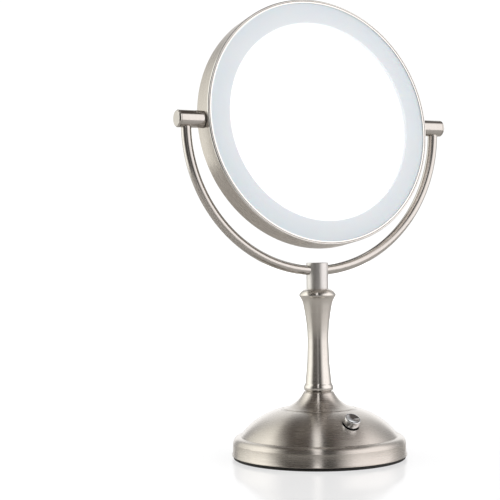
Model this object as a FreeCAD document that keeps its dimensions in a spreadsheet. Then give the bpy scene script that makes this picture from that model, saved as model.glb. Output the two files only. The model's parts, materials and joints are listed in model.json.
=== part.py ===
"""Lighted vanity mirror: a two-faced round head with light rings, hung in a half-ring yoke on a turned stand.

Millimetres, +Z up, origin at the middle of the base on the table, mirror facing -Y.
"""
import FreeCAD
import Part
import Sketcher
import math
import os

Vector = FreeCAD.Vector
Rotation = FreeCAD.Rotation
Placement = FreeCAD.Placement
ACROSS = Vector(1, 0, 0)
UP = Vector(0, 0, 1)

SIZES = [
    ("pivot_height", 254.2, "head pivot above the table"),
    ("head_lean", 8.3, "degrees the head leans back at rest"),
    ("band_radius", 95.0, "outside of the head band"),
    ("band_wall", 1.2, "sheet of the band"),
    ("band_half", 9.9, "half the depth of the head"),
    ("mirror_radius", 76.3, "edge of both mirror discs"),
    ("mirror_thick", 2.0, "glass"),
    ("mirror_face", 7.6, "front of the glass from the middle plane of the head"),
    ("mirror_dip", 2.8, "hollow of the magnifying disc"),
    ("light_radius", 92.0, "outer edge of the light ring's raised face"),
    ("light_face", 9.2, "face of the light ring from the middle plane"),
    ("board_inner", 78.6, "lamp board, inner edge"),
    ("board_outer", 91.2, "lamp board, outer edge"),
    ("board_thick", 1.6, "both circuit boards"),
    ("lamp_circle", 84.7, "circle the lamps sit on"),
    ("boss_circle", 81.4, "circle of the board screws"),
    ("yoke_radius", 108.3, "centre line of the yoke tube"),
    ("yoke_drop", 3.5, "yoke centre below the pivot"),
    ("tube_radius", 3.8, "yoke tube"),
    ("tube_wall", 0.8, "yoke tube"),
    ("barrel_radius", 6.5, "pivot barrels"),
    ("barrel_start", 95.4, "inner end of a barrel from the middle"),
    ("barrel_end", 114.0, "outer end of a barrel"),
    ("barrel_floor", 2.6, "end wall of a barrel"),
    ("barrel_bore", 5.2, "hollow of a barrel"),
    ("stud_radius", 3.0, "hollow pivot stud"),
    ("stud_bore", 1.6, "passage for the leads"),
    ("bush_radius", 4.0, "sleeve of a pivot bush"),
    ("collar_radius", 8.45, "collar under the yoke"),
    ("collar_top", 148.3, "top of the collar"),
    ("stem_top", 128.5, "joint of collar and stem"),
    ("rod_radius", 4.0, "threaded tie rod"),
    ("rod_bore", 2.5, "passage for the leads"),
    ("rod_foot", 36.5, "lower end of the tie rod"),
    ("waist_radius", 8.0, "thinnest place of the stem"),
    ("waist_height", 88.5, "height of the waist"),
    ("bead_radius", 11.0, "joint of stem and base neck"),
    ("dome_radius", 54.1, "curve of the dome"),
    ("dome_centre", 16.75, "centre of that curve from the axis"),
    ("dome_drop", 15.63, "centre of that curve below the table"),
    ("dome_turn", 11.8, "degrees where dome turns into flare"),
    ("dome_edge", 60.2, "crease between dome and shoulder"),
    ("flare_radius", 23.8, "hollow curve of the neck"),
    ("shoulder", 4.75, "rounding of the shoulder"),
    ("rim_radius", 65.65, "upright rim under the shoulder"),
    ("rim_height", 11.9, "top of the upright rim"),
    ("shell_wall", 1.4, "spun base shell"),
    ("foot_thick", 2.4, "rubber foot"),
    ("foot_radius", 65.4, "rubber foot, outside"),
    ("foot_inner", 52.0, "rubber foot, inside"),
    ("plate_thick", 2.0, "bottom plate"),
    ("plate_radius", 64.0, "bottom plate"),
    ("post_circle", 55.0, "circle of the base screws"),
    ("button_circle", 46.0, "button from the axis"),
    ("button_radius", 6.0, "button"),
    ("button_height", 6.0, "how far the button stands proud"),
    ("button_travel", 1.2, "stroke of the button"),
    ("cell_radius", 7.1, "one cell"),
    ("cell_length", 49.0, "one cell"),
    ("cell_pitch", 15.2, "from cell to cell"),
    ("slack", 0.04, "clearance of a turning or sliding fit"),
    ("gap", 0.3, "clearance between neighbours that do not touch"),
]

doc = FreeCAD.newDocument("vanity_mirror")
parts = []


class Size:
    """A length or angle: its number and the sheet formula it comes from."""

    def __init__(self, value, text):
        self.value = float(value)
        self.text = text

    def __add__(self, other):
        other = size(other)
        return Size(self.value + other.value, "(%s + %s)" % (self.text, other.text))

    def __sub__(self, other):
        other = size(other)
        return Size(self.value - other.value, "(%s - %s)" % (self.text, other.text))

    def __mul__(self, other):
        other = size(other)
        return Size(self.value * other.value, "(%s * %s)" % (self.text, other.text))

    def __truediv__(self, other):
        other = size(other)
        return Size(self.value / other.value, "(%s / %s)" % (self.text, other.text))

    def __neg__(self):
        return Size(-self.value, "(0 - %s)" % self.text)

    __radd__ = __add__
    __rmul__ = __mul__

    def __rsub__(self, other):
        return size(other) - self


def size(number):
    """Takes a Size as it is and wraps a plain number."""
    if isinstance(number, Size):
        return number
    return Size(number, "(%.6f)" % number)


def root(number):
    return Size(math.sqrt(number.value), "sqrt(%s)" % number.text)


def sine(angle):
    angle = size(angle)
    return Size(math.sin(math.radians(angle.value)), "sin(%s * 1deg)" % angle.text)


def cosine(angle):
    angle = size(angle)
    return Size(math.cos(math.radians(angle.value)), "cos(%s * 1deg)" % angle.text)


def make_sheet():
    """Writes the driving sizes and hands them back by name."""
    sheet = doc.addObject("Spreadsheet::Sheet", "dims")
    named = {}
    for row, (name, value, meaning) in enumerate(SIZES, start=1):
        sheet.set("A%d" % row, name)
        sheet.set("B%d" % row, str(value))
        sheet.set("C%d" % row, meaning)
        sheet.setAlias("B%d" % row, name)
        named[name] = Size(value, "dims." + name)
    doc.recompute()
    return named


D = make_sheet()


def bind(feature, prop, number):
    """Ties one property of a feature to its sheet formula."""
    number = size(number)
    feature.setExpression(prop, number.text)


def new_body(name, place=None):
    body = doc.addObject("PartDesign::Body", name)
    body.Label = name
    body.AllowCompound = True
    if place is not None:
        body.Placement = place
    parts.append(body)
    return body


def origin_piece(body, role):
    return [piece for piece in body.Origin.OriginFeatures if piece.Role == role][0]


def new_sketch(body, plane="XZ_Plane", lift=0, place=None):
    """A sketch on one of the body's own planes, moved by lift along its normal or put at place."""
    sketch = body.newObject("Sketcher::SketchObject", "sketch")
    sketch.AttachmentSupport = [(origin_piece(body, plane), "")]
    sketch.MapMode = "FlatFace"
    if place is not None:
        sketch.AttachmentOffset = place
    elif isinstance(lift, Size) or lift:
        bind(sketch, "AttachmentOffset.Base.z", lift)
    return sketch


def hold(sketch, edge, end, x, y):
    """Pins one point of the sketch at x, y."""
    for kind, axis, number in (("DistanceX", -2, size(x)), ("DistanceY", -1, size(y))):
        if abs(number.value) < 1e-9:
            sketch.addConstraint(Sketcher.Constraint("PointOnObject", edge, end, axis))
            continue
        index = sketch.addConstraint(Sketcher.Constraint(kind, -1, 1, edge, end, number.value))
        sketch.setExpression("Constraints[%d]" % index, number.text)


def arc_between(start, finish, bow):
    """Arc from start to finish; a positive bow runs anticlockwise."""
    middle = (start + finish) * 0.5
    chord = finish - start
    side = Vector(-chord.y, chord.x, 0).normalize()
    reach = math.sqrt(max(bow * bow - chord.Length ** 2 / 4, 0))
    centre = middle + side * (reach if bow > 0 else -reach)
    ends = (start, finish) if bow > 0 else (finish, start)
    angles = [math.atan2(point.y - centre.y, point.x - centre.x) for point in ends]
    return Part.ArcOfCircle(Part.Circle(centre, UP, abs(bow)), angles[0], angles[1])


def draw(sketch, path, closed=True):
    """Joins the corners of path; a third number in a corner is the radius of the side after it."""
    points = [Vector(size(corner[0]).value, size(corner[1]).value, 0) for corner in path]
    count = len(path)
    first = sketch.GeometryCount
    heads = []
    tails = []
    sides = count if closed else count - 1
    for number in range(sides):
        start = points[number]
        finish = points[(number + 1) % count]
        edge = first + number
        if len(path[number]) == 2:
            sketch.addGeometry(Part.LineSegment(start, finish))
            heads.append((edge, 1))
            tails.append((edge, 2))
            continue
        bow = size(path[number][2])
        sketch.addGeometry(arc_between(start, finish, bow.value))
        forward = bow.value > 0
        heads.append((edge, 1 if forward else 2))
        tails.append((edge, 2 if forward else 1))
    for number in range(sides):
        if closed or number + 1 < sides:
            ahead = heads[(number + 1) % sides]
            sketch.addConstraint(Sketcher.Constraint("Coincident", *tails[number], *ahead))
    for number in range(sides):
        hold(sketch, *heads[number], path[number][0], path[number][1])
    if not closed:
        hold(sketch, *tails[-1], path[-1][0], path[-1][1])
    for number in range(sides):
        if len(path[number]) == 3:
            bow = size(path[number][2])
            bow = bow if bow.value > 0 else -bow
            index = sketch.addConstraint(Sketcher.Constraint("Radius", first + number, bow.value))
            sketch.setExpression("Constraints[%d]" % index, bow.text)


def draw_circle(sketch, x, y, radius):
    radius = size(radius)
    centre = Vector(size(x).value, size(y).value, 0)
    edge = sketch.addGeometry(Part.Circle(centre, UP, radius.value))
    hold(sketch, edge, 3, x, y)
    index = sketch.addConstraint(Sketcher.Constraint("Radius", edge, radius.value))
    sketch.setExpression("Constraints[%d]" % index, radius.text)


def box_path(left, low, right, high):
    return [(left, low), (right, low), (right, high), (left, high)]


def draw_axis(sketch, start, finish):
    """A construction line to turn a profile about."""
    ends = [Vector(size(x).value, size(y).value, 0) for x, y in (start, finish)]
    edge = sketch.addGeometry(Part.LineSegment(*ends), True)
    hold(sketch, edge, 1, *start)
    hold(sketch, edge, 2, *finish)


def revolve(body, sketch, axis="V_Axis", angle=None, cut=False, centred=False):
    feature = body.newObject("PartDesign::Groove" if cut else "PartDesign::Revolution", "turned")
    feature.Profile = sketch
    feature.ReferenceAxis = (sketch, [axis])
    feature.Angle = 360
    feature.Midplane = centred
    if angle is not None:
        bind(feature, "Angle", angle)
    body.Tip = feature
    return feature


def pad(body, sketch, length, back=False, centred=False):
    feature = body.newObject("PartDesign::Pad", "pad")
    feature.Profile = sketch
    feature.Reversed = back
    feature.SideType = "Symmetric" if centred else "One side"
    bind(feature, "Length", length)
    body.Tip = feature
    return feature


def pocket(body, sketch, length, back=False, centred=False):
    feature = body.newObject("PartDesign::Pocket", "pocket")
    feature.Profile = sketch
    feature.Reversed = back
    feature.SideType = "Symmetric" if centred else "One side"
    bind(feature, "Length", length)
    body.Tip = feature
    return feature


def repeat_round(body, features, count):
    """Copies features evenly round the body's own Z axis."""
    pattern = body.newObject("PartDesign::PolarPattern", "round")
    pattern.Originals = features
    pattern.Axis = (origin_piece(body, "Z_Axis"), [""])
    pattern.Angle = 360
    pattern.Occurrences = count
    body.Tip = pattern
    return pattern


def repeat_along(body, features, role, length, count):
    pattern = body.newObject("PartDesign::LinearPattern", "row")
    pattern.Originals = features
    pattern.Direction = (origin_piece(body, role), [""])
    bind(pattern, "Length", length)
    pattern.Occurrences = count
    body.Tip = pattern
    return pattern


def mirror(body, features):
    """Copies features across the middle plane."""
    copy = body.newObject("PartDesign::Mirrored", "mirrored")
    copy.Originals = features
    copy.MirrorPlane = (origin_piece(body, "YZ_Plane"), [""])
    body.Tip = copy
    return copy


def lathe(name, path, place=None, axis="V_Axis", plane="XZ_Plane"):
    """A body turned from one closed outline."""
    body = new_body(name, place)
    sketch = new_sketch(body, plane)
    draw(sketch, path)
    revolve(body, sketch, axis)
    return body


def prism(name, path, low, length, place=None):
    """A body raised from one closed outline, from low upwards."""
    body = new_body(name, place)
    sketch = new_sketch(body, "XY_Plane", low)
    draw(sketch, path)
    pad(body, sketch, length)
    return body


def disc(body, circles, low, length, back=False):
    """Raises a ring or disc between circles given as x, y, radius."""
    sketch = new_sketch(body, "XY_Plane", low)
    for circle in circles:
        draw_circle(sketch, *circle)
    return pad(body, sketch, length, back)


def drill(body, circles, low, depth, back=False, plane="XY_Plane"):
    """Sinks round holes from low along the sketch's back side, or its front side if back is set."""
    sketch = new_sketch(body, plane, low)
    for circle in circles:
        draw_circle(sketch, *circle)
    return pocket(body, sketch, depth, back)


PIVOT = Vector(0, 0, D["pivot_height"].value)
HEAD_FRONT = Placement(PIVOT, Rotation(ACROSS, 90 - D["head_lean"].value))
HEAD_REAR = HEAD_FRONT.multiply(Placement(Vector(), Rotation(ACROSS, 180)))
HEAD_LEFT = HEAD_FRONT.multiply(Placement(Vector(), Rotation(UP, 180)))
RIGHT_PIVOT = Placement(PIVOT, Rotation())
LEFT_PIVOT = Placement(PIVOT, Rotation(UP, 180))

# ---- head: local Z is the way the front mirror faces, local X the pivot line ----

BAND_IN = D["band_radius"] - D["band_wall"]
BEAD_LOW = 5.7
BEAD_HIGH = 6.3
BEAD_OUT = 0.2


def frame_band():
    """Rolled band with rounded edges and the two grooves the bezels snap into."""
    edge = 1.1
    outer = D["band_radius"]
    half = D["band_half"]
    groove = BAND_IN + BEAD_OUT + 0.1
    low = BEAD_LOW - 0.1
    high = BEAD_HIGH + 0.1
    path = [
        (BAND_IN, -half), (outer - edge, -half, edge),
        (outer, -half + edge), (outer, half - edge, edge),
        (outer - edge, half), (BAND_IN, half),
        (BAND_IN, high), (groove, high), (groove, low), (BAND_IN, low),
        (BAND_IN, -low), (groove, -low), (groove, -high), (BAND_IN, -high),
    ]
    body = lathe("frame_band", path, HEAD_FRONT)
    holes = new_sketch(body, "YZ_Plane")
    draw_circle(holes, 0, 0, D["stud_radius"] + D["slack"])
    pocket(body, holes, D["band_radius"] * 3, centred=True)


def bezel(name, place):
    """Bright lip over the light ring, on a thin skirt that snaps into the band."""
    lip = D["light_radius"] + 0.2
    outer = BAND_IN - D["slack"]
    inner = outer - 0.75
    half = D["band_half"]
    path = [
        (lip, D["light_face"] - 0.25), (inner, D["light_face"] - 0.25), (inner, 4.9), (outer, 4.9),
        (outer, BEAD_LOW), (outer + BEAD_OUT, BEAD_LOW + 0.2), (outer + BEAD_OUT, BEAD_HIGH - 0.2),
        (outer, BEAD_HIGH), (outer, half - 0.4, 0.4), (outer - 0.4, half),
        (lip + 0.5, half, 0.5), (lip, half - 0.5),
    ]
    lathe(name, path, place)


def light_ring(name, place):
    """Frosted ring with a trapped flange outside and a skirt that stands on the core."""
    face = D["light_face"]
    back = face - 2.0
    outer = D["light_radius"]
    inner = D["mirror_radius"] + D["gap"]
    skirt = inner + 1.6
    path = [
        (inner, 5.0), (skirt, 5.0), (skirt, back), (outer + 0.9, back), (outer + 0.9, face - 0.4),
        (outer, face - 0.4), (outer, face - 0.2), (outer - 0.2, face), (inner + 0.4, face, 0.4),
        (inner, face - 0.4),
    ]
    lathe(name, path, place)


def front_mirror():
    bevel = 0.3
    edge = D["mirror_radius"]
    face = D["mirror_face"]
    back = face - D["mirror_thick"]
    path = [
        (0, back), (edge - bevel, back), (edge, back + bevel),
        (edge, face - bevel), (edge - bevel, face), (0, face),
    ]
    lathe("front_mirror", path, HEAD_FRONT)


def rear_mirror():
    """Slumped glass, hollow on its visible side."""
    edge = D["mirror_radius"]
    dip = D["mirror_dip"]
    curve = (edge * edge + dip * dip) / (dip * 2)
    face = D["mirror_face"]
    back = face - D["mirror_thick"]
    path = [(0, back - dip, curve), (edge, back), (edge, face, -curve), (0, face - dip)]
    lathe("rear_mirror", path, HEAD_REAR)


CORE_HALF = 4.95


def mirror_pad(name, place, top):
    path = box_path(74.3, CORE_HALF, 76.0, top)
    lathe(name, path, place)


def head_core():
    """Moulded core: web behind the front mirror, rim, and a flange with four bosses for the lamp board."""
    rim_in = 74.0
    rim_out = D["board_inner"] - 0.2
    shelf = -(D["board_thick"] / 2) - 0.05
    web = 2.7
    path = [
        (20, web), (rim_in, web), (rim_in, -CORE_HALF), (rim_out, -CORE_HALF), (rim_out, shelf - 1.75),
        (rim_out + 2.2, shelf - 1.75), (rim_out + 2.2, shelf), (rim_out, shelf),
        (rim_out, CORE_HALF), (20, CORE_HALF),
    ]
    body = lathe("head_core", path, HEAD_FRONT)
    turn = Placement(Vector(), Rotation(UP, 45))
    for sink, radius in ((False, 2.5), (True, 1.05)):
        sketch = new_sketch(body, "XY_Plane", place=Placement(Vector(0, 0, shelf.value), turn.Rotation))
        draw_circle(sketch, D["boss_circle"], 0, radius)
        feature = pocket(body, sketch, 3.6) if sink else pad(body, sketch, 4.1, back=True)
        repeat_round(body, [feature], 4)


def lamp_board():
    """Ring board with a notch at each pivot and four screw holes."""
    body = new_body("lamp_board", HEAD_FRONT)
    half = D["board_thick"] / 2
    disc(body, [(0, 0, D["board_inner"]), (0, 0, D["board_outer"])], -half, D["board_thick"])
    notch = new_sketch(body, "XY_Plane", half)
    draw(notch, box_path(83.0, -8.6, 95, 8.6))
    cut = pocket(body, notch, D["board_thick"] * 2)
    mirror(body, [cut])
    place = Placement(Vector(0, 0, half.value), Rotation(UP, 45))
    hole = new_sketch(body, "XY_Plane", place=place)
    draw_circle(hole, D["boss_circle"], 0, 1.2)
    cut = pocket(body, hole, D["board_thick"] * 2)
    repeat_round(body, [cut], 4)


def lamps(name, place):
    """One side's ring of surface lamps, clear of the pivot notches."""
    count = 24
    body = new_body(name, place.multiply(Placement(Vector(), Rotation(UP, 180.0 / count))))
    sketch = new_sketch(body, "XY_Plane", D["board_thick"] / 2)
    middle = D["lamp_circle"]
    draw(sketch, box_path(middle - 1.4, -1.75, middle + 1.4, 1.75))
    lamp = pad(body, sketch, 0.9)
    repeat_round(body, [lamp], count)


def screw_path(middle, seat, head_radius, head_high, shank_radius, shank_long):
    """Half outline of a screw standing at middle, head above seat."""
    return [
        (middle, seat - shank_long), (middle + shank_radius, seat - shank_long),
        (middle + shank_radius, seat), (middle + head_radius, seat),
        (middle + head_radius, seat + head_high - 0.3), (middle + head_radius - 0.3, seat + head_high),
        (middle, seat + head_high),
    ]


def board_screws():
    body = new_body("board_screws", HEAD_FRONT.multiply(Placement(Vector(), Rotation(UP, 45))))
    middle = D["boss_circle"]
    seat = D["board_thick"] / 2
    sketch = new_sketch(body)
    draw(sketch, screw_path(middle, seat, 1.8, 1.2, 1.0, 4.6))
    draw_axis(sketch, (middle, 0), (middle, 3))
    screw = revolve(body, sketch, "Axis0")
    repeat_round(body, [screw], 4)


STUD_HEAD_FLAT = 8.9
STUD_SEAT = 90.0


def hexagon(middle_x, middle_y, flats):
    """Corners of a hexagon with two flats parallel to the first axis."""
    reach = size(flats) / 2 / cosine(30)
    return [(middle_x + reach * cosine(60 * n), middle_y + reach * sine(60 * n)) for n in range(6)]


def pivot_block(name, place):
    """Anchors a pivot stud inside the band; its outer face follows the band."""
    half_wide = 8.0
    follow = BAND_IN - 0.05
    reach = root(follow * follow - half_wide * half_wide)
    path = [(87.0, -half_wide), (reach, -half_wide, follow), (reach, half_wide), (87.0, half_wide)]
    body = new_body(name, place)
    sketch = new_sketch(body, "XY_Plane")
    draw(sketch, path)
    pad(body, sketch, 9.6, centred=True)
    hole = new_sketch(body, "YZ_Plane", 80)
    draw_circle(hole, 0, 0, D["stud_radius"] + D["slack"])
    pocket(body, hole, 20, back=True)
    seat = new_sketch(body, "YZ_Plane", STUD_SEAT)
    draw(seat, hexagon(0, 0, STUD_HEAD_FLAT + 0.1))
    pocket(body, seat, 6)


STUD_END = 103.6


def pivot_stud(name, place):
    """Hollow bolt from inside the head into the barrel; the leads run through it."""
    body = new_body(name, place)
    head = new_sketch(body, "YZ_Plane", STUD_SEAT)
    draw(head, hexagon(0, 0, STUD_HEAD_FLAT))
    pad(body, head, 2.4, back=True)
    shank = new_sketch(body, "YZ_Plane", STUD_SEAT)
    draw_circle(shank, 0, 0, D["stud_radius"])
    pad(body, shank, STUD_END - STUD_SEAT)
    bore = new_sketch(body, "YZ_Plane", 80)
    draw_circle(bore, 0, 0, D["stud_bore"])
    pocket(body, bore, 30, back=True)


BARREL_INSIDE = D["barrel_start"] + D["barrel_floor"]
TAB_FAR = 5.05
TAB_HALF_TURN = 11.5
LUG_HALF_TURN = 18.0
WASHER_START = BARREL_INSIDE + 0.05
WASHER_THICK = 0.8
SPRING_START = WASHER_START + WASHER_THICK + 0.05
SPRING_THICK = 0.6
NUT_START = SPRING_START + SPRING_THICK + 0.05


def stop_washer():
    """Washer keyed to the left stud; its tab meets the lug in the barrel at both ends of the swing."""
    body = new_body("stop_washer", LEFT_PIVOT)
    ring = new_sketch(body, "YZ_Plane", WASHER_START)
    draw_circle(ring, 0, 0, D["stud_radius"] + D["slack"])
    draw_circle(ring, 0, 0, 4.1)
    pad(body, ring, WASHER_THICK)
    tab = new_sketch(body, "YZ_Plane", WASHER_START)
    draw(tab, sector(180, TAB_HALF_TURN, 3.6, TAB_FAR))
    pad(body, tab, WASHER_THICK)


def sector(middle, half_turn, near, far):
    """Piece of a ring between two radii, centred on a direction in degrees."""
    low = middle - half_turn
    high = middle + half_turn
    return [
        (near * cosine(low), near * sine(low)), (far * cosine(low), far * sine(low), far),
        (far * cosine(high), far * sine(high)), (near * cosine(high), near * sine(high), -near),
    ]


def plain_washer():
    body = new_body("plain_washer", RIGHT_PIVOT)
    ring = new_sketch(body, "YZ_Plane", WASHER_START)
    draw_circle(ring, 0, 0, D["stud_radius"] + D["slack"])
    draw_circle(ring, 0, 0, 4.1)
    pad(body, ring, WASHER_THICK)


def spring_washers():
    body = new_body("spring_washers", RIGHT_PIVOT)
    ring = new_sketch(body, "YZ_Plane", SPRING_START)
    draw_circle(ring, 0, 0, D["stud_radius"] + D["slack"])
    draw_circle(ring, 0, 0, 4.7)
    washer = pad(body, ring, SPRING_THICK)
    mirror(body, [washer])


def stud_nuts():
    """Round nuts with two spanner notches."""
    body = new_body("stud_nuts", RIGHT_PIVOT)
    ring = new_sketch(body, "YZ_Plane", NUT_START)
    draw_circle(ring, 0, 0, D["stud_radius"] + 0.02)
    draw_circle(ring, 0, 0, 4.7)
    nut = pad(body, ring, 2.8)
    notch = new_sketch(body, "YZ_Plane", NUT_START + 2.8)
    draw(notch, box_path(-6, -0.6, -3.7, 0.6))
    draw(notch, box_path(3.7, -0.6, 6, 0.6))
    cut = pocket(body, notch, 1.0)
    mirror(body, [nut, cut])


def lead_path(body, plane, corners):
    """Open centre line for a lead."""
    sketch = new_sketch(body, plane)
    draw(sketch, corners, closed=False)
    return sketch


def sweep(body, outline, spine):
    feature = body.newObject("PartDesign::AdditivePipe", "swept")
    feature.Profile = outline
    feature.Spine = (spine, ["Edge%d" % (n + 1) for n in range(spine.GeometryCount)])
    body.Tip = feature


def head_leads():
    """Short end of the leads from the left stud up onto the lamp board."""
    body = new_body("head_leads", HEAD_FRONT)
    start = -87.2
    rise = 2.2
    run = 4.0
    bend = (run * run + rise * rise) / (4 * rise)
    corners = [(start, 0, bend), (start + run / 2, rise / 2, -bend), (start + run, rise), (-79.8, rise)]
    spine = lead_path(body, "XZ_Plane", corners)
    outline = new_sketch(body, "YZ_Plane", start)
    draw_circle(outline, 0, 0, 0.9)
    sweep(body, outline, spine)


# ---- yoke ----

def barrel(name, place, lug):
    """Pivot barrel with the tube let in from below; the left one carries the stop lug."""
    start = D["barrel_start"]
    outer = D["barrel_radius"]
    bush = D["bush_radius"] + 0.02
    path = [
        (start, bush), (start + D["barrel_floor"], bush), (start + D["barrel_floor"], D["barrel_bore"]),
        (D["barrel_end"], D["barrel_bore"]), (D["barrel_end"], outer), (start + 0.4, outer),
        (start, outer - 0.4),
    ]
    body = lathe(name, path, place, "H_Axis")
    drill(body, [(D["yoke_radius"], 0, D["tube_radius"] + D["slack"])], 0, 10)
    if lug:
        sketch = new_sketch(body, "YZ_Plane", BARREL_INSIDE)
        draw(sketch, sector(270, LUG_HALF_TURN, 4.3, D["barrel_bore"] + 0.3))
        pad(body, sketch, WASHER_THICK + 0.1)


def barrel_cap(name, place):
    """Pressed end plug with a chamfered face."""
    end = D["barrel_end"]
    outer = D["barrel_radius"]
    plug = D["barrel_bore"] - D["slack"]
    path = [
        (end - 1.4, 0), (end - 1.4, plug), (end, plug), (end, outer), (end + 1.0, outer),
        (end + 2.0, outer - 1.0), (end + 2.0, 0),
    ]
    lathe(name, path, place, "H_Axis")


def pivot_bushes():
    body = new_body("pivot_bushes", RIGHT_PIVOT)
    start = D["barrel_start"]
    inner = D["stud_radius"] + D["slack"]
    flange = D["band_radius"] + 0.05
    path = [
        (flange, inner), (BARREL_INSIDE, inner), (BARREL_INSIDE, D["bush_radius"]),
        (start, D["bush_radius"]), (start, 5.5), (flange, 5.5),
    ]
    sketch = new_sketch(body)
    draw(sketch, path)
    bush = revolve(body, sketch, "H_Axis")
    mirror(body, [bush])


YOKE_CENTRE = D["pivot_height"] - D["yoke_drop"]
YOKE_FOOT = YOKE_CENTRE - D["yoke_radius"]


def yoke_tube():
    """Half ring of tube that ends in the barrels, with a hole for the leads at its lowest place."""
    start = 0.8
    body = new_body("yoke_tube", Placement(Vector(0, 0, YOKE_CENTRE.value), Rotation()))
    place = Placement(Vector(), Rotation(Vector(0, 1, 0), start))
    sketch = new_sketch(body, "XY_Plane", place=place)
    draw_circle(sketch, D["yoke_radius"], 0, D["tube_radius"])
    draw_circle(sketch, D["yoke_radius"], 0, D["tube_radius"] - D["tube_wall"])
    revolve(body, sketch, "V_Axis", 180 - 2 * start)
    drill(body, [(0, 0, 2.0)], -D["yoke_radius"], 6)


ROD_TOP = size(136.5)


def collar():
    """Hub the tube passes through, bored from below for the tie rod."""
    outer = D["collar_radius"]
    top = D["collar_top"]
    foot = D["stem_top"]
    bore = D["rod_radius"] + 0.02
    rod_top = ROD_TOP + 0.3
    path = [
        (bore, foot), (outer, foot), (outer, top - 0.8, 0.8), (outer - 0.8, top), (0, top),
        (0, YOKE_FOOT), (D["rod_bore"], YOKE_FOOT), (D["rod_bore"], rod_top), (bore, rod_top),
    ]
    body = lathe("collar", path)
    sketch = new_sketch(body, "YZ_Plane")
    draw_circle(sketch, 0, YOKE_FOOT, D["tube_radius"] + 0.02)
    draw_axis(sketch, (0, YOKE_CENTRE), (5, YOKE_CENTRE))
    revolve(body, sketch, "Axis0", 20, cut=True, centred=True)


def tie_rod():
    body = new_body("tie_rod")
    foot = D["rod_foot"]
    disc(body, [(0, 0, D["rod_radius"]), (0, 0, D["rod_bore"])], foot, ROD_TOP - foot)


def stem():
    """Turned stem: bead, long waist, straight taper, hollow and a bulge under the collar."""
    bore = D["rod_radius"] + D["gap"]
    waist = D["waist_radius"]
    high = D["waist_height"]
    foot = NECK_TOP
    bead = D["bead_radius"]
    shoulder = waist + 1.86
    low_bend = ((high - 56.3) * (high - 56.3) + 4.0) / 4.0
    top_bend = ((110.2 - high) * (110.2 - high) + 3.46) / 3.72
    path = [
        (bore, foot), (bead - 0.4, foot), (bead - 0.1, foot + 0.3, 4.8),
        (waist + 2.0, 56.3, -low_bend), (waist, high, -top_bend), (shoulder, 110.2),
        (10.9, 116.0, -16.8), (13.5, 122.4, 1.6), (14.0, 124.2, 7.6), (9.0, D["stem_top"]),
        (bore, D["stem_top"]),
    ]
    lathe("stem", path)


# ---- base ----

DOME_X = D["dome_centre"]
DOME_Y = -D["dome_drop"]
FLARE_X = DOME_X + (D["dome_radius"] + D["flare_radius"]) * sine(D["dome_turn"])
FLARE_Y = DOME_Y + (D["dome_radius"] + D["flare_radius"]) * cosine(D["dome_turn"])
NECK_TOP = FLARE_Y - root(D["flare_radius"] * D["flare_radius"] - (FLARE_X - D["bead_radius"])
                          * (FLARE_X - D["bead_radius"]))


def dome_height(out, wall=0):
    """Height of the dome's surface, or of its inside, at a distance from the axis."""
    curve = D["dome_radius"] - wall
    return DOME_Y + root(curve * curve - (size(out) - DOME_X) * (size(out) - DOME_X))


def shell_outline():
    """Half section of the spun shell, round the outside and back along the inside."""
    wall = D["shell_wall"]
    dome = D["dome_radius"]
    flare = D["flare_radius"]
    lean = D["dome_turn"]
    turn_x = DOME_X + dome * sine(lean)
    turn_y = DOME_Y + dome * cosine(lean)
    edge = D["dome_edge"]
    rim = D["rim_radius"]
    high = D["rim_height"]
    foot = D["foot_thick"]
    round_in = D["shoulder"] - wall
    top_in = NECK_TOP - 3
    flare_in = flare + wall
    neck_in = FLARE_X - root(flare_in * flare_in - (FLARE_Y - top_in) * (FLARE_Y - top_in))
    hole = D["rod_radius"] + 0.1
    return [
        (hole, NECK_TOP), (D["bead_radius"], NECK_TOP, flare), (turn_x, turn_y, -dome),
        (edge, dome_height(edge), -D["shoulder"]), (rim, high), (rim + 0.25, foot + 1.6),
        (rim + 0.95, foot + 0.5), (rim + 0.95, foot), (rim - wall, foot), (rim - wall, high, round_in),
        (rim - wall - round_in, high + round_in), (edge - 1.6, dome_height(edge - 1.6, wall), dome - wall),
        (turn_x - wall * sine(lean), turn_y - wall * cosine(lean), -flare_in), (neck_in, top_in),
        (hole, top_in),
    ]


BUTTON_TILT = math.degrees(math.asin((D["button_circle"].value - DOME_X.value) / D["dome_radius"].value))
BUTTON_SPOT = Vector(0, -D["button_circle"].value, dome_height(D["button_circle"]).value)
BUTTON_PLACE = Placement(BUTTON_SPOT, Rotation(ACROSS, BUTTON_TILT))
INLET_HEIGHT = 8.4
PLATE_TOP = D["foot_thick"] + D["plate_thick"]


def base_shell():
    """Spun shell with four screw posts, the button hole and the inlet hole."""
    body = lathe("base_shell", shell_outline())
    posts = new_sketch(body, "XY_Plane", place=Placement(Vector(0, 0, PLATE_TOP.value), Rotation(UP, 45)))
    draw_circle(posts, D["post_circle"], 0, 3.0)
    post = pad(body, posts, 10)
    post.Type = "UpToFirst"
    repeat_round(body, [post], 4)
    holes = new_sketch(body, "XY_Plane", place=Placement(Vector(0, 0, PLATE_TOP.value), Rotation(UP, 45)))
    draw_circle(holes, D["post_circle"], 0, 1.5)
    hole = pocket(body, holes, 9, back=True)
    repeat_round(body, [hole], 4)
    spot = new_sketch(body, "XY_Plane", place=BUTTON_PLACE)
    draw_circle(spot, 0, 0, D["button_radius"] + 0.7)
    pocket(body, spot, 12, centred=True)
    inlet = new_sketch(body, "XZ_Plane", -60)
    draw_circle(inlet, 0, INLET_HEIGHT, 3.05)
    pocket(body, inlet, 10)


def rod_washer():
    body = new_body("rod_washer")
    disc(body, [(0, 0, D["rod_radius"] + 0.15), (0, 0, 8.0)], NECK_TOP - 3, 1.6, back=True)


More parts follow.
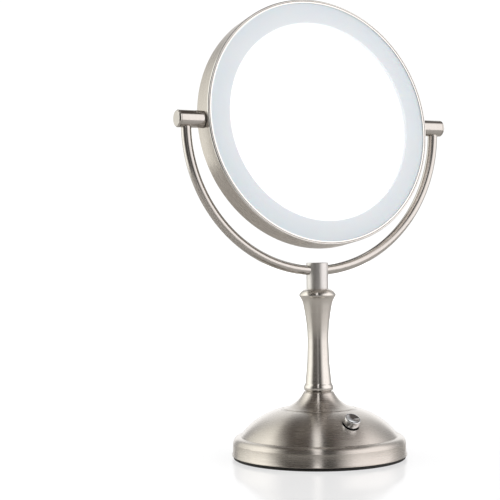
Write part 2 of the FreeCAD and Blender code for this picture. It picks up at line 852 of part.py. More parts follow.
def rod_nut():
    body = new_body("rod_nut")
    top = NECK_TOP - 4.6
    sketch = new_sketch(body, "XY_Plane", top)
    draw(sketch, hexagon(0, 0, 13))
    draw_circle(sketch, 0, 0, D["rod_radius"] + 0.02)
    pad(body, sketch, 6.4, back=True)


# the battery opening and what fits in it, seen from below
BAY_HALF = 25.0
BAY_FRONT = -16.0
BAY_BACK = 42.0
TAB_HALF = 6.0
TAB_LONG = 8.0
TAB_SCREW = 4.0


def bay_path(grow):
    """Outline of the battery cover with its two screw tabs, grown all round."""
    left = -BAY_HALF - grow
    right = BAY_HALF + grow
    front = BAY_FRONT - grow
    back = BAY_BACK + grow
    tab = TAB_HALF + grow
    return [
        (left, front), (-tab, front), (-tab, front - TAB_LONG), (tab, front - TAB_LONG), (tab, front),
        (right, front), (right, back), (tab, back), (tab, back + TAB_LONG), (-tab, back + TAB_LONG),
        (-tab, back), (left, back),
    ]


COVER_SCREWS = [(0, BAY_FRONT - TAB_SCREW), (0, BAY_BACK + TAB_SCREW)]


def ballast():
    """Cast ring cut away for the battery box, the posts and the inlet."""
    body = new_body("ballast")
    top = 12.4
    disc(body, [(0, 0, 36.0), (0, 0, 62.4)], PLATE_TOP, top - PLATE_TOP)
    cut = new_sketch(body, "XY_Plane", top)
    draw(cut, box_path(-27.0, -17.6, 27.0, 43.8))
    pocket(body, cut, 12)
    cut = new_sketch(body, "XY_Plane", top)
    draw(cut, box_path(-8.0, 43.0, 8.0, 66.0))
    pocket(body, cut, 12)
    posts = new_sketch(body, "XY_Plane", place=Placement(Vector(0, 0, top), Rotation(UP, 45)))
    draw_circle(posts, D["post_circle"], 0, 3.4)
    hole = pocket(body, posts, 12)
    repeat_round(body, [hole], 4)


def bottom_plate():
    """Plate with the battery opening and four sunk screw seats."""
    body = new_body("bottom_plate")
    foot = D["foot_thick"]
    sketch = new_sketch(body, "XY_Plane", foot)
    draw_circle(sketch, 0, 0, D["plate_radius"])
    draw(sketch, bay_path(0.2))
    pad(body, sketch, D["plate_thick"])
    for radius, depth in ((1.65, 3.0), (3.0, 1.2)):
        seat = new_sketch(body, "XY_Plane", place=Placement(Vector(0, 0, foot.value), Rotation(UP, 45)))
        draw_circle(seat, D["post_circle"], 0, radius)
        cut = pocket(body, seat, depth, back=True)
        repeat_round(body, [cut], 4)


def screw_from_below(body, middle_x, middle_y, seat, head_radius, head_high, shank_radius, shank_long):
    """Screw whose head hangs under seat and whose shank runs upwards."""
    disc(body, [(middle_x, middle_y, head_radius)], seat, head_high, back=True)
    return disc(body, [(middle_x, middle_y, shank_radius)], seat, shank_long)


def plate_screws():
    body = new_body("plate_screws", Placement(Vector(), Rotation(UP, 45)))
    seat = D["foot_thick"] + 1.2
    head = disc(body, [(D["post_circle"], 0, 2.7)], seat, 1.1, back=True)
    shank = disc(body, [(D["post_circle"], 0, 1.46)], seat, 8.5)
    repeat_round(body, [head, shank], 4)


def foot_ring():
    """Rubber foot under the rim, hiding the base screws."""
    outer = D["foot_radius"]
    top = D["foot_thick"]
    inner = D["foot_inner"]
    lathe("foot_ring", [(inner, 0), (outer - 0.4, 0), (outer, 0.4), (outer, top), (inner, top)])


BOX_TOP = PLATE_TOP + 16.85
BOARD_MIDDLE = 14.0
BOARD_PEGS = [(x, BOARD_MIDDLE + y) for x in (-14, 14) for y in (-8, 8)]


def battery_box():
    """Open-bottomed box with two screw bosses and four pegs for the driver board."""
    body = prism("battery_box", box_path(-26, -17, 26, 43), PLATE_TOP + 0.05, 16.8)
    inside = new_sketch(body, "XY_Plane", PLATE_TOP)
    draw(inside, box_path(-24.5, -15.5, 24.5, 41.5))
    pocket(body, inside, 15.3, back=True)
    boss = new_sketch(body, "XY_Plane", PLATE_TOP + 0.05)
    for x, y in COVER_SCREWS:
        draw_circle(boss, x, y, 3.2)
    pad(body, boss, 7.6)
    drill(body, [(x, y, 1.28) for x, y in COVER_SCREWS], PLATE_TOP, 6.5, back=True)
    for radius, high in ((2.2, 2.4), (1.1, 5.0)):
        disc(body, [(x, y, radius) for x, y in BOARD_PEGS], BOX_TOP, high)


CELL_HEIGHT = 12.0


def battery_cells():
    """Three cells side by side, axes front to back."""
    radius = D["cell_radius"]
    start = -12.0
    end = D["cell_length"] + start
    place = Placement(Vector(-D["cell_pitch"].value, 0, CELL_HEIGHT), Rotation())
    body = new_body("battery_cells", place)
    path = [
        (0, start), (radius - 0.5, start), (radius, start + 0.5), (radius, end - 0.8), (radius - 0.8, end),
        (2.7, end), (2.7, end + 1.2), (0, end + 1.2),
    ]
    sketch = new_sketch(body, "XY_Plane")
    draw(sketch, path)
    cell = revolve(body, sketch)
    repeat_along(body, [cell], "X_Axis", D["cell_pitch"] * 2, 3)


def battery_contacts():
    """Plate with a spring cup at one end of every cell and a plain plate with a stud at the other."""
    place = Placement(Vector(-D["cell_pitch"].value, 0, CELL_HEIGHT), Rotation())
    body = new_body("battery_contacts", place)
    path = [(0, -15.4), (5.5, -15.4), (5.5, -15.0), (3.2, -15.0), (2.4, -12.05), (0, -12.05)]
    near = new_sketch(body, "XY_Plane")
    draw(near, path)
    spring = revolve(body, near)
    far = new_sketch(body, "XY_Plane")
    draw(far, [(0, 41.4), (5.5, 41.4), (5.5, 41.0), (2.5, 41.0), (2.0, 38.25), (0, 38.25)])
    plain = revolve(body, far)
    repeat_along(body, [spring, plain], "X_Axis", D["cell_pitch"] * 2, 3)


def battery_cover():
    body = prism("battery_cover", bay_path(-0.1), D["foot_thick"] + 0.1, 1.85)
    for radius, depth in ((1.45, 4.0), (2.5, 1.0)):
        drill(body, [(x, y, radius) for x, y in COVER_SCREWS], D["foot_thick"] + 0.1, depth, back=True)


def cover_screws():
    body = new_body("cover_screws")
    seat = D["foot_thick"] + 1.1
    for x, y in COVER_SCREWS:
        screw_from_below(body, x, y, seat, 2.3, 0.9, 1.24, 6.5)


def dc_inlet():
    """Low-voltage inlet behind a round hole in the back of the rim."""
    front = 53.4
    body = new_body("dc_inlet")
    sketch = new_sketch(body, "XZ_Plane", -front)
    draw(sketch, box_path(-4.5, 5.0, 4.5, 11.8))
    pad(body, sketch, 63.5 - front, back=True)
    nose = new_sketch(body, "XZ_Plane", -63.0)
    draw_circle(nose, 0, INLET_HEIGHT, 2.95)
    pad(body, nose, 2.5, back=True)
    bore = new_sketch(body, "XZ_Plane", -66.0)
    draw_circle(bore, 0, INLET_HEIGHT, 1.75)
    pocket(body, bore, 9.5, back=True)


def driver_board():
    board = prism("driver_board", box_path(-17, 3, 17, 25), BOX_TOP + 2.4, D["board_thick"])
    drill(board, [(x, y, 1.25) for x, y in BOARD_PEGS], BOX_TOP + 2, 4, back=True)


def driver_parts():
    """Coil, two capacitors, a chip and two lead sockets on the driver board."""
    body = new_body("driver_parts")
    top = BOX_TOP + 2.4 + D["board_thick"]
    disc(body, [(-5, 18, 4.0)], top, 4.5)
    disc(body, [(5, 20, 2.5), (11, 14, 2.5)], top, 6.0)
    for path, high in ((box_path(-3, 8, 3, 12), 1.6), (box_path(-15, 11, -11, 17), 4.2),
                       (box_path(4, 11, 7.5, 16), 4.2)):
        sketch = new_sketch(body, "XY_Plane", top)
        draw(sketch, path)
        pad(body, sketch, high)


# ---- push switch: local Z is square to the dome at the button ----

GUIDE_FOOT = -9.0
BUTTON_FOOT = -3.5
PLUNGER_RADIUS = 1.5


def button_cap():
    """Button with a dished top and a socket for the plunger."""
    outer = D["button_radius"]
    top = D["button_height"]
    dish = outer - 1.1
    depth = 0.7
    curve = (dish * dish + depth * depth) / (2 * depth)
    socket = PLUNGER_RADIUS + 0.02
    path = [
        (socket, BUTTON_FOOT), (outer, BUTTON_FOOT), (outer, top - 0.7, 0.7), (outer - 0.7, top),
        (dish, top, -curve), (0, top - depth), (0, 2.0), (socket, 2.0),
    ]
    lathe("button_cap", path, BUTTON_PLACE)


def button_plunger():
    body = new_body("button_plunger", BUTTON_PLACE)
    disc(body, [(0, 0, PLUNGER_RADIUS)], -11.5, 13.4)


def button_guide():
    """Sleeve under the shell that the button slides in."""
    inner = D["button_radius"] + 0.08
    hole = PLUNGER_RADIUS + 0.2
    path = [
        (hole, GUIDE_FOOT), (7.6, GUIDE_FOOT), (7.6, -2.2), (inner, -2.2), (inner, GUIDE_FOOT + 1.2),
        (hole, GUIDE_FOOT + 1.2),
    ]
    lathe("button_guide", path, BUTTON_PLACE)


def switch_body():
    body = new_body("switch_body", BUTTON_PLACE)
    sketch = new_sketch(body, "XY_Plane", GUIDE_FOOT)
    draw(sketch, box_path(-6.5, -6.5, 6.5, 6.5))
    pad(body, sketch, 6.4, back=True)
    drill(body, [(0, 0, PLUNGER_RADIUS + 0.2)], GUIDE_FOOT, 4.2)


def stand_leads():
    """Leads from the left stud, round the yoke tube and down the tie rod to the base."""
    body = new_body("stand_leads")
    pivot = D["pivot_height"]
    ring = D["yoke_radius"]
    corner = D["yoke_drop"]
    bend = 5.0
    span = ring + bend
    drop = root(span * span - bend * bend)
    low_y = YOKE_CENTRE - drop
    meet_x = -(ring / span) * bend
    meet_y = YOKE_CENTRE - (ring / span) * drop
    start = -88.0
    corners = [
        (start, pivot), (-ring + corner, pivot, corner), (-ring, YOKE_CENTRE, ring),
        (meet_x, meet_y, -bend), (0, low_y), (0, 27.0),
    ]
    spine = lead_path(body, "XZ_Plane", corners)
    outline = new_sketch(body, "YZ_Plane", start)
    draw_circle(outline, 0, pivot, 1.1)
    sweep(body, outline, spine)


def build():
    frame_band()
    bezel("front_bezel", HEAD_FRONT)
    bezel("rear_bezel", HEAD_REAR)
    light_ring("front_light_ring", HEAD_FRONT)
    light_ring("rear_light_ring", HEAD_REAR)
    front_mirror()
    rear_mirror()
    mirror_pad("front_mirror_pad", HEAD_FRONT, 5.55)
    mirror_pad("rear_mirror_pad", HEAD_REAR, 5.45)
    head_core()
    lamp_board()
    lamps("front_lamps", HEAD_FRONT)
    lamps("rear_lamps", HEAD_REAR)
    board_screws()
    for side, place in (("right", HEAD_FRONT), ("left", HEAD_LEFT)):
        pivot_block(side + "_pivot_block", place)
        pivot_stud(side + "_stud", place)
    stop_washer()
    plain_washer()
    stud_nuts()
    head_leads()
    for side, place in (("right", RIGHT_PIVOT), ("left", LEFT_PIVOT)):
        barrel(side + "_barrel", place, side == "left")
        barrel_cap(side + "_barrel_cap", place)
    pivot_bushes()
    spring_washers()
    yoke_tube()
    collar()
    tie_rod()
    stem()
    base_shell()
    rod_washer()
    rod_nut()
    ballast()
    bottom_plate()
    plate_screws()
    foot_ring()
    battery_box()
    battery_cells()
    battery_contacts()
    battery_cover()
    cover_screws()
    dc_inlet()
    driver_board()
    driver_parts()
    button_cap()
    button_plunger()
    button_guide()
    switch_body()
    stand_leads()


def write():
    """Checks every object and writes one STEP file per body."""
    doc.recompute()
    for thing in doc.Objects:
        if "Invalid" in thing.State or "Error" in thing.State:
            raise RuntimeError("%s did not build: %s" % (thing.Label, thing.State))
    os.makedirs("parts", exist_ok=True)
    for body in parts:
        shape = body.Shape
        if shape.isNull() or not shape.isValid():
            raise RuntimeError("%s has no sound shape" % body.Label)
        print("%-20s %9.1f mm3 %d" % (body.Label, shape.Volume, len(shape.Solids)))
        shape.exportStep("parts/%s.step" % body.Label)


build()
write()
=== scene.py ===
import json
import math

import bpy
from mathutils import Matrix, Vector


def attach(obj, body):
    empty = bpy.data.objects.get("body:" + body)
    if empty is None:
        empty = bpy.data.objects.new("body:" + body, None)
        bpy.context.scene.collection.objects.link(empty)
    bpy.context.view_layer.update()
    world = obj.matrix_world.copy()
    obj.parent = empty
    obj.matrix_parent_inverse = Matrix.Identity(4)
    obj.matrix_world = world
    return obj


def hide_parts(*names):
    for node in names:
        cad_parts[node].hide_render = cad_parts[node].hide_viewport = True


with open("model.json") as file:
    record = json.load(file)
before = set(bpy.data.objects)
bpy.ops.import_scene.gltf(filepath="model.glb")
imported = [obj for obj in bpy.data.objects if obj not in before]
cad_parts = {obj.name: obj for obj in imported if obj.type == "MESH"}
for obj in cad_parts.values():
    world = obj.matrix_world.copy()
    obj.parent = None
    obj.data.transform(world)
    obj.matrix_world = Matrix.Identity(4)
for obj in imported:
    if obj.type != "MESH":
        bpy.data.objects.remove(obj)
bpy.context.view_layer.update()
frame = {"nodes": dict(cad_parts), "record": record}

# Lengths are in millimetres, except for the floor and the camera; new_mesh and at turn them into metres
MM = 0.001

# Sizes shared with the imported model
PIVOT_HEIGHT = 254.2
HEAD_LEAN = math.radians(8.3)
BAND_RADIUS = 95.0
BAND_HALF = 9.9
BAND_INNER = 93.8
LIGHT_RADIUS = 92.0
LIGHT_FACE = 9.2
MIRROR_RADIUS = 76.3
MIRROR_FACE = 7.6
MIRROR_THICK = 2.0
MIRROR_DIP = 2.8
YOKE_RADIUS = 108.3
YOKE_CENTRE = 250.7
TUBE_RADIUS = 3.8
BARREL_RADIUS = 6.5
BARREL_START = 95.4
BARREL_END = 114.0
COLLAR_RADIUS = 8.45
COLLAR_TOP = 148.3
COLLAR_ROOF = 137.0
STEM_TOP = 128.5
ROD_HOLE = 4.1
STEM_BORE = 4.3
DOME_CENTRE = 16.75
DOME_DROP = 15.63
DOME_RADIUS = 54.1
DOME_TURN = math.radians(11.8)
FLARE_RADIUS = 23.8
BEAD_RADIUS = 11.0
SHELL_WALL = 1.4
CREASE = 60.2
RIM = 65.65
RIM_TOP = 11.9
RIM_FLARE = 0.95
SHOULDER = 4.75
FOOT = 2.4
FOOT_INNER = 52.0
FOOT_OUTER = 65.4
BUTTON_CIRCLE = 46.0
BUTTON_RADIUS = 6.0
BUTTON_HEIGHT = 6.0
INLET_HEIGHT = 8.4

# Fineness of the meshes: facets round a piece, degrees per arc step, and how a soft corner is drawn
ROUND_SEGMENTS = 240
FINE_SEGMENTS = 96
STEM_SEGMENTS = 160
BASE_SEGMENTS = 360
ARC_STEP = 4.0
CORNER_STEPS = 6
CORNER_LEAD = 1.3


# ---- outlines ----

def arc(start, finish, bend):
    """Points between start and finish on an arc of radius bend; a positive bend turns anticlockwise."""
    chord = math.dist(start, finish)
    radius = abs(bend)
    turn = math.copysign(2 * math.asin(min(1.0, chord / 2 / radius)), bend)
    middle = ((start[0] + finish[0]) / 2, (start[1] + finish[1]) / 2)
    reach = math.copysign(math.sqrt(max(0.0, radius * radius - chord * chord / 4)), bend)
    centre = (middle[0] - (finish[1] - start[1]) / chord * reach,
              middle[1] + (finish[0] - start[0]) / chord * reach)
    dx = start[0] - centre[0]
    dy = start[1] - centre[1]
    count = max(2, math.ceil(abs(math.degrees(turn)) / ARC_STEP))
    points = []
    for k in range(1, count):
        angle = turn * k / count
        points.append((centre[0] + dx * math.cos(angle) - dy * math.sin(angle),
                       centre[1] + dx * math.sin(angle) + dy * math.cos(angle)))
    return points


def walk(points, distance):
    """Point at a distance along a polyline, and how many of its points lie before it."""
    for k in range(len(points) - 1):
        run = math.dist(points[k], points[k + 1])
        if run >= distance:
            share = distance / run
            return (points[k][0] + (points[k + 1][0] - points[k][0]) * share,
                    points[k][1] + (points[k + 1][1] - points[k][1]) * share), k + 1
        distance -= run
    return points[-1], len(points) - 1


def outline(corners):
    """Turns corners (x, y, bend of the next side, softness of the corner) into a fine closed polyline."""
    full = [tuple(corner) + (0.0,) * (4 - len(corner)) for corner in corners]
    count = len(full)
    sides = []
    for k in range(count):
        here = full[k]
        there = full[(k + 1) % count]
        middle = arc(here[:2], there[:2], here[2]) if here[2] else []
        sides.append([here[:2]] + middle + [there[:2]])
    points = []
    for k in range(count):
        corner = full[k][:2]
        soft = full[k][3]
        soft_next = full[(k + 1) % count][3]
        behind = sides[k - 1][::-1]
        side = sides[k]
        start = 1
        end = len(side) - 1
        if soft:
            back = walk(behind, soft)[0]
            ahead = walk(side, soft)[0]
            points.append(walk(behind, soft * CORNER_LEAD)[0])
            for step in range(CORNER_STEPS + 1):
                t = step / CORNER_STEPS
                points.append(tuple(back[a] * (1 - t) ** 2 + corner[a] * 2 * t * (1 - t) + ahead[a] * t * t
                                    for a in (0, 1)))
            lead, start = walk(side, soft * CORNER_LEAD)
            points.append(lead)
        else:
            points.append(corner)
        if soft_next:
            end = len(side) - walk(side[::-1], soft_next * CORNER_LEAD)[1]
        points.extend(side[start:end])
    return points


def area(points):
    """Signed area of a closed polyline, positive when it runs anticlockwise."""
    total = 0.0
    for k, (x, y) in enumerate(points):
        nx, ny = points[(k + 1) % len(points)]
        total += x * ny - nx * y
    return total / 2


# ---- pieces ----

def at(x, y, z, rotation=Matrix.Identity(4)):
    return Matrix.Translation(Vector((x, y, z)) * MM) @ rotation


def new_mesh(name, vertices, faces):
    mesh = bpy.data.meshes.new(name)
    mesh.from_pydata([Vector(vertex) * MM for vertex in vertices], [], faces)
    return mesh


def make_piece(name, body, node, vertices, faces, place, material):
    """Smooth-shaded piece that rides on a body and stands for a CAD node."""
    mesh = new_mesh(name, vertices, faces)
    mesh.validate()
    mesh.update()
    for polygon in mesh.polygons:
        polygon.use_smooth = True
    mesh.materials.append(material)
    piece = bpy.data.objects.new(name, mesh)
    bpy.context.scene.collection.objects.link(piece)
    piece.matrix_world = place
    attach(piece, body)
    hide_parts(node)
    return piece


def turned(points, segments, closed=True):
    """Vertices and faces of a profile (radius, height) turned about local Z."""
    vertices = []
    rows = []
    for radius, height in points:
        if radius < 1e-6:
            rows.append([len(vertices)])
            vertices.append((0, 0, height))
            continue
        rows.append(list(range(len(vertices), len(vertices) + segments)))
        for k in range(segments):
            angle = 2 * math.pi * k / segments
            vertices.append((radius * math.cos(angle), radius * math.sin(angle), height))
    faces = []
    for r in range(len(rows) if closed else len(rows) - 1):
        low = rows[r]
        high = rows[(r + 1) % len(rows)]
        if len(low) == 1 and len(high) == 1:
            continue
        for k in range(segments):
            n = (k + 1) % segments
            if len(low) == 1:
                faces.append((low[0], high[n], high[k]))
            elif len(high) == 1:
                faces.append((low[k], low[n], high[0]))
            else:
                faces.append((low[k], low[n], high[n], high[k]))
    return vertices, faces


def lathe(name, body, node, corners, place, material, segments=ROUND_SEGMENTS):
    """Piece turned from an outline, with its faces outwards whichever way the outline runs."""
    points = outline(corners)
    if area(points) < 0:
        points.reverse()
    vertices, faces = turned(points, segments)
    return make_piece(name, body, node, vertices, faces, place, material)


def polish_edges(piece, beyond, material):
    """Gives every face further than a height from the middle plane the second material."""
    piece.data.materials.append(material)
    for polygon in piece.data.polygons:
        if abs(polygon.center.z) > beyond * MM:
            polygon.material_index = 1


def dome_height(out, wall=0.0):
    """Height of the dome at a radius, on its outside or a wall's thickness inside it."""
    return math.sqrt((DOME_RADIUS - wall) ** 2 - (out - DOME_CENTRE) ** 2) - DOME_DROP


STANDING = at(0, 0, 0)
HEAD_FRONT = at(0, 0, PIVOT_HEIGHT, Matrix.Rotation(math.pi / 2 - HEAD_LEAN, 4, "X"))
HEAD_REAR = HEAD_FRONT @ Matrix.Rotation(math.pi, 4, "X")
RIGHT_PIVOT = at(0, 0, PIVOT_HEIGHT, Matrix.Rotation(math.pi / 2, 4, "Y"))
LEFT_PIVOT = at(0, 0, PIVOT_HEIGHT, Matrix.Rotation(-math.pi / 2, 4, "Y"))
BUTTON_TILT = math.asin((BUTTON_CIRCLE - DOME_CENTRE) / DOME_RADIUS)
BUTTON_PLACE = at(0, -BUTTON_CIRCLE, dome_height(BUTTON_CIRCLE), Matrix.Rotation(BUTTON_TILT, 4, "X"))
INLET_PLACE = at(0, 0, INLET_HEIGHT, Matrix.Rotation(math.pi / 2, 4, "X"))


# ---- materials ----

# Part of a noise's range that is in use, and the pointiness of a slightly and a fully worn edge
NOISE_RANGE = (0.3, 0.7)
WEAR_RANGE = (0.52, 0.6)


class Shader:
    """Node tree of a material or a world, with short helpers."""

    def __init__(self, owner, output="ShaderNodeOutputMaterial", coordinates="Object"):
        owner.use_nodes = True
        self.owner = owner
        self.tree = owner.node_tree
        self.tree.nodes.clear()
        self.output = self.tree.nodes.new(output)
        self.coords = self.tree.nodes.new("ShaderNodeTexCoord").outputs[coordinates]

    def link(self, source, target):
        self.tree.links.new(source, target)

    def fill(self, socket, value):
        """Links a socket to a node's output, or sets its own value."""
        if isinstance(value, bpy.types.NodeSocket):
            self.link(value, socket)
        elif socket.type == "RGBA":
            socket.default_value = (*value, 1.0)
        else:
            socket.default_value = value

    def node(self, kind, settings=(), **sockets):
        made = self.tree.nodes.new(kind)
        for key, value in dict(settings).items():
            setattr(made, key, value)
        for key, value in sockets.items():
            self.fill(made.inputs[key.replace("_", " ")], value)
        return made

    def math(self, operation, *values):
        made = self.node("ShaderNodeMath", {"operation": operation})
        for socket, value in zip(made.inputs, values):
            self.fill(socket, value)
        return made.outputs[0]

    def weighted(self, x, x_share, y, y_share):
        """The sum of two values, each times its share."""
        return self.math("ADD", self.math("MULTIPLY", x, x_share), self.math("MULTIPLY", y, y_share))

    def axes(self):
        return self.node("ShaderNodeSeparateXYZ", Vector=self.coords).outputs

    def radius(self, x, y):
        """Distance from the local Z axis."""
        return self.math("SQRT", self.weighted(x, x, y, y))

    def noise(self, scale, detail=3.0):
        made = self.node("ShaderNodeTexNoise", Vector=self.coords, Scale=scale, Detail=detail, Roughness=0.55)
        return made.outputs["Fac"]

    def remap(self, value, low, high, first=0.0, last=1.0, curve="LINEAR"):
        """Takes low to high onto first to last, and holds it beyond both ends."""
        made = self.node("ShaderNodeMapRange", {"interpolation_type": curve}, Value=value,
                         From_Min=low, From_Max=high, To_Min=first, To_Max=last)
        return made.outputs["Result"]

    def spread(self, noise, first, last):
        return self.remap(noise, *NOISE_RANGE, first, last)

    def gate(self, value, edge, soft, rising=True):
        """A soft step at an edge, from 0 up to 1 or from 1 down to 0."""
        first, last = (0.0, 1.0) if rising else (1.0, 0.0)
        return self.remap(value, edge - soft, edge + soft, first, last, "SMOOTHSTEP")

    def worn(self, share):
        """The share on worn convex edges, 0 elsewhere."""
        point = self.node("ShaderNodeNewGeometry").outputs["Pointiness"]
        return self.math("MULTIPLY", self.remap(point, *WEAR_RANGE), share)

    def blend(self, factor, first, second):
        made = self.node("ShaderNodeMix", {"data_type": "RGBA"}, Factor=factor)
        for name, value in (("A", first), ("B", second)):
            self.fill(next(s for s in made.inputs if s.name == name and s.type == "RGBA"), value)
        return next(s for s in made.outputs if s.type == "RGBA")

    def bump(self, height, strength, distance):
        made = self.node("ShaderNodeBump", Height=height, Strength=strength, Distance=distance)
        return made.outputs["Normal"]

    def principled(self, colour, roughness, metallic=0.0, **sockets):
        made = self.node("ShaderNodeBsdfPrincipled", Base_Color=colour, Roughness=roughness,
                         Metallic=metallic, **sockets)
        self.finish(made)

    def join(self, kind, first, second):
        made = self.node(kind)
        sockets = [socket for socket in made.inputs if socket.type == "SHADER"]
        self.link(first.outputs[0], sockets[0])
        self.link(second.outputs[0], sockets[1])
        return made

    def added(self, first, second):
        return self.join("ShaderNodeAddShader", first, second)

    def mixed(self, factor, first, second):
        made = self.join("ShaderNodeMixShader", first, second)
        self.link(factor, made.inputs[0])
        return made

    def for_camera(self, others, camera):
        """One shader for the camera's own rays and another for all other rays."""
        path = self.node("ShaderNodeLightPath")
        return self.mixed(path.outputs["Is Camera Ray"], others, camera)

    def finish(self, surface):
        self.link(surface.outputs[0], self.output.inputs["Surface"])


def new_shader(name):
    return Shader(bpy.data.materials.new(name))


def grain_height(shader, rings):
    """Fine lines round the local Z axis, as left by brushing on a lathe."""
    around_scale = 40.0
    x, y, z = shader.axes()
    stretched = shader.node("ShaderNodeCombineXYZ", X=shader.math("MULTIPLY", x, around_scale),
                            Y=shader.math("MULTIPLY", y, around_scale), Z=shader.math("MULTIPLY", z, rings))
    noise = shader.node("ShaderNodeTexNoise", {"noise_dimensions": "4D"}, Vector=stretched.outputs[0],
                        W=shader.math("MULTIPLY", shader.radius(x, y), rings),
                        Scale=1.0, Detail=4.0, Roughness=0.7)
    return noise.outputs["Fac"]


def brushed_nickel(name, dark, light, rough_low, rough_high, anisotropy=0.0, turn=0.0):
    """Nickel brushed on a lathe: fine grain in the gloss, broader bands in the colour, paler worn edges."""
    shader = new_shader(name)
    grain = grain_height(shader, 2600.0)
    bands = grain_height(shader, 420.0)
    cloud = shader.noise(28.0)
    tone = shader.blend(shader.spread(bands, 0.0, 1.0), dark, light)
    tone = shader.blend(shader.worn(0.4), tone, (0.86, 0.84, 0.81))
    rough = shader.math("ADD", shader.spread(grain, rough_low, rough_high),
                        shader.spread(cloud, -0.012, 0.012))
    tangent = shader.node("ShaderNodeTangent", {"direction_type": "RADIAL", "axis": "Z"})
    shader.principled(tone, rough, 1.0, Normal=shader.bump(grain, 0.028, 0.00002),
                      Anisotropic=anisotropy, Anisotropic_Rotation=turn, Tangent=tangent.outputs[0])
    return shader.owner


def polished_metal(name, colour, roughness):
    """Bright plated metal with faint smears and hairlines."""
    shader = new_shader(name)
    smear = shader.noise(90.0, 4.0)
    fine = shader.noise(900.0, 2.0)
    tone = shader.blend(shader.spread(smear, 0.0, 1.0), colour, [min(1.0, c * 1.05) for c in colour])
    rough = shader.math("ADD", shader.spread(smear, roughness, roughness * 1.9),
                        shader.spread(fine, 0.0, 0.012))
    shader.principled(tone, rough, 1.0, Normal=shader.bump(fine, 0.03, 0.00001))
    return shader.owner


def moulded(name, colour, roughness, grain=1400.0, depth=0.00004, metallic=0.0):
    """Plain moulded, rolled or cast surface: slight colour clouds, pitted grain, lighter worn edges."""
    shader = new_shader(name)
    cloud = shader.noise(60.0)
    pits = shader.noise(grain, 2.0)
    shaded = [c * 0.82 for c in colour]
    rubbed = [min(1.0, c * 1.3 + 0.03) for c in colour]
    tone = shader.blend(shader.spread(cloud, 0.0, 1.0), shaded, colour)
    tone = shader.blend(shader.worn(0.25), tone, rubbed)
    rough = shader.math("ADD", shader.spread(pits, roughness - 0.05, roughness + 0.07),
                        shader.spread(cloud, -0.03, 0.03))
    shader.principled(tone, rough, metallic, Normal=shader.bump(pits, 0.25, depth))
    return shader.owner


def frosted_plastic():
    """Diffusing ring lit from within: palest at its inner wall, bluer towards its outer edge."""
    inner_wall = 0.5
    shader = new_shader("frosted_plastic")
    cloud = shader.noise(35.0)
    frost = shader.noise(2600.0)
    x, y, _ = shader.axes()
    radius = shader.radius(x, y)
    outward = shader.remap(radius, MIRROR_RADIUS * MM, LIGHT_RADIUS * MM)
    face = shader.math("LESS_THAN", (MIRROR_RADIUS + inner_wall) * MM, radius)
    glow = shader.blend(outward, (0.41, 0.435, 0.46), (0.30, 0.343, 0.37))
    glow = shader.blend(face, (0.80, 0.84, 0.86), glow)
    tone = shader.blend(shader.spread(cloud, 0.0, 1.0), (0.69, 0.75, 0.80), (0.72, 0.765, 0.80))
    shader.principled(tone, shader.spread(frost, 0.3, 0.42), Normal=shader.bump(frost, 0.15, 0.00002),
                      IOR=1.49, Subsurface_Weight=0.25, Subsurface_Scale=0.004,
                      Emission_Color=glow, Emission_Strength=0.78)
    return shader.owner


def mirror_silver():
    """Silvered glass with a trace of haze."""
    shader = new_shader("mirror_silver")
    haze = shader.noise(25.0, 4.0)
    tone = shader.blend(shader.spread(haze, 0.0, 1.0), (0.93, 0.945, 0.955), (0.95, 0.96, 0.965))
    shader.principled(tone, shader.spread(haze, 0.008, 0.022), 1.0)
    return shader.owner


# Nickel: darker and lighter tone, lowest and highest roughness. Only the first two stretch their highlight,
# by an anisotropy and its turn.
NICKEL = brushed_nickel("satin_nickel", (0.645, 0.605, 0.56), (0.685, 0.65, 0.61), 0.25, 0.305, 0.96, 0.25)
# The stem's nickel is smoother than the base's. Its tone is the base's nickel painted lighter, so that its
# highlights come out brighter
STEM_NICKEL_PAINTED_LIGHTER = brushed_nickel("stem_nickel_painted_lighter", (0.725, 0.695, 0.655), (0.755, 0.73, 0.695), 0.19, 0.23, 0.65, 0.25)
COLLAR_NICKEL = brushed_nickel("collar_nickel", (0.715, 0.70, 0.69), (0.745, 0.735, 0.725), 0.36, 0.41)
TUBE_NICKEL = brushed_nickel("tube_nickel", (0.595, 0.57, 0.54), (0.635, 0.61, 0.585), 0.13, 0.18)
BRIGHT = polished_metal("bright_nickel", (0.84, 0.83, 0.81), 0.06)
CHROME = polished_metal("button_chrome", (0.80, 0.81, 0.83), 0.07)
FROSTED = frosted_plastic()
MIRROR = mirror_silver()
RUBBER = moulded("black_rubber", (0.022, 0.021, 0.021), 0.62, 1800.0, 0.00005)

FINISHES = {
    "satin_nickel": NICKEL,
    "bright_nickel": BRIGHT,
    "frosted_plastic": FROSTED,
    "mirror_glass": MIRROR,
    "black_rubber": RUBBER,
    "black_plastic": moulded("black_plastic", (0.03, 0.03, 0.032), 0.42),
    "white_plastic": moulded("white_plastic", (0.82, 0.82, 0.80), 0.45),
    "pad_foam": moulded("pad_foam", (0.16, 0.16, 0.165), 0.85, 700.0, 0.0002),
    "circuit_board": moulded("circuit_board", (0.03, 0.18, 0.09), 0.38, 900.0),
    "white_board": moulded("white_board", (0.86, 0.86, 0.84), 0.35, 900.0),
    "lamp": moulded("lamp", (0.92, 0.80, 0.42), 0.3, 2000.0),
    "zinc_steel": moulded("zinc_steel", (0.62, 0.63, 0.65), 0.3, 1200.0, 0.00003, 1.0),
    "iron": moulded("iron", (0.20, 0.19, 0.185), 0.6, 500.0, 0.0002, 0.8),
    "cell_wrap": moulded("cell_wrap", (0.10, 0.22, 0.45), 0.3, 1500.0),
    "lead_sleeve": moulded("lead_sleeve", (0.45, 0.06, 0.05), 0.45, 1500.0),
    "nylon": moulded("nylon", (0.05, 0.05, 0.052), 0.5, 1200.0),
    "steel": moulded("steel", (0.50, 0.50, 0.51), 0.32, 1200.0, 0.00003, 1.0),
}

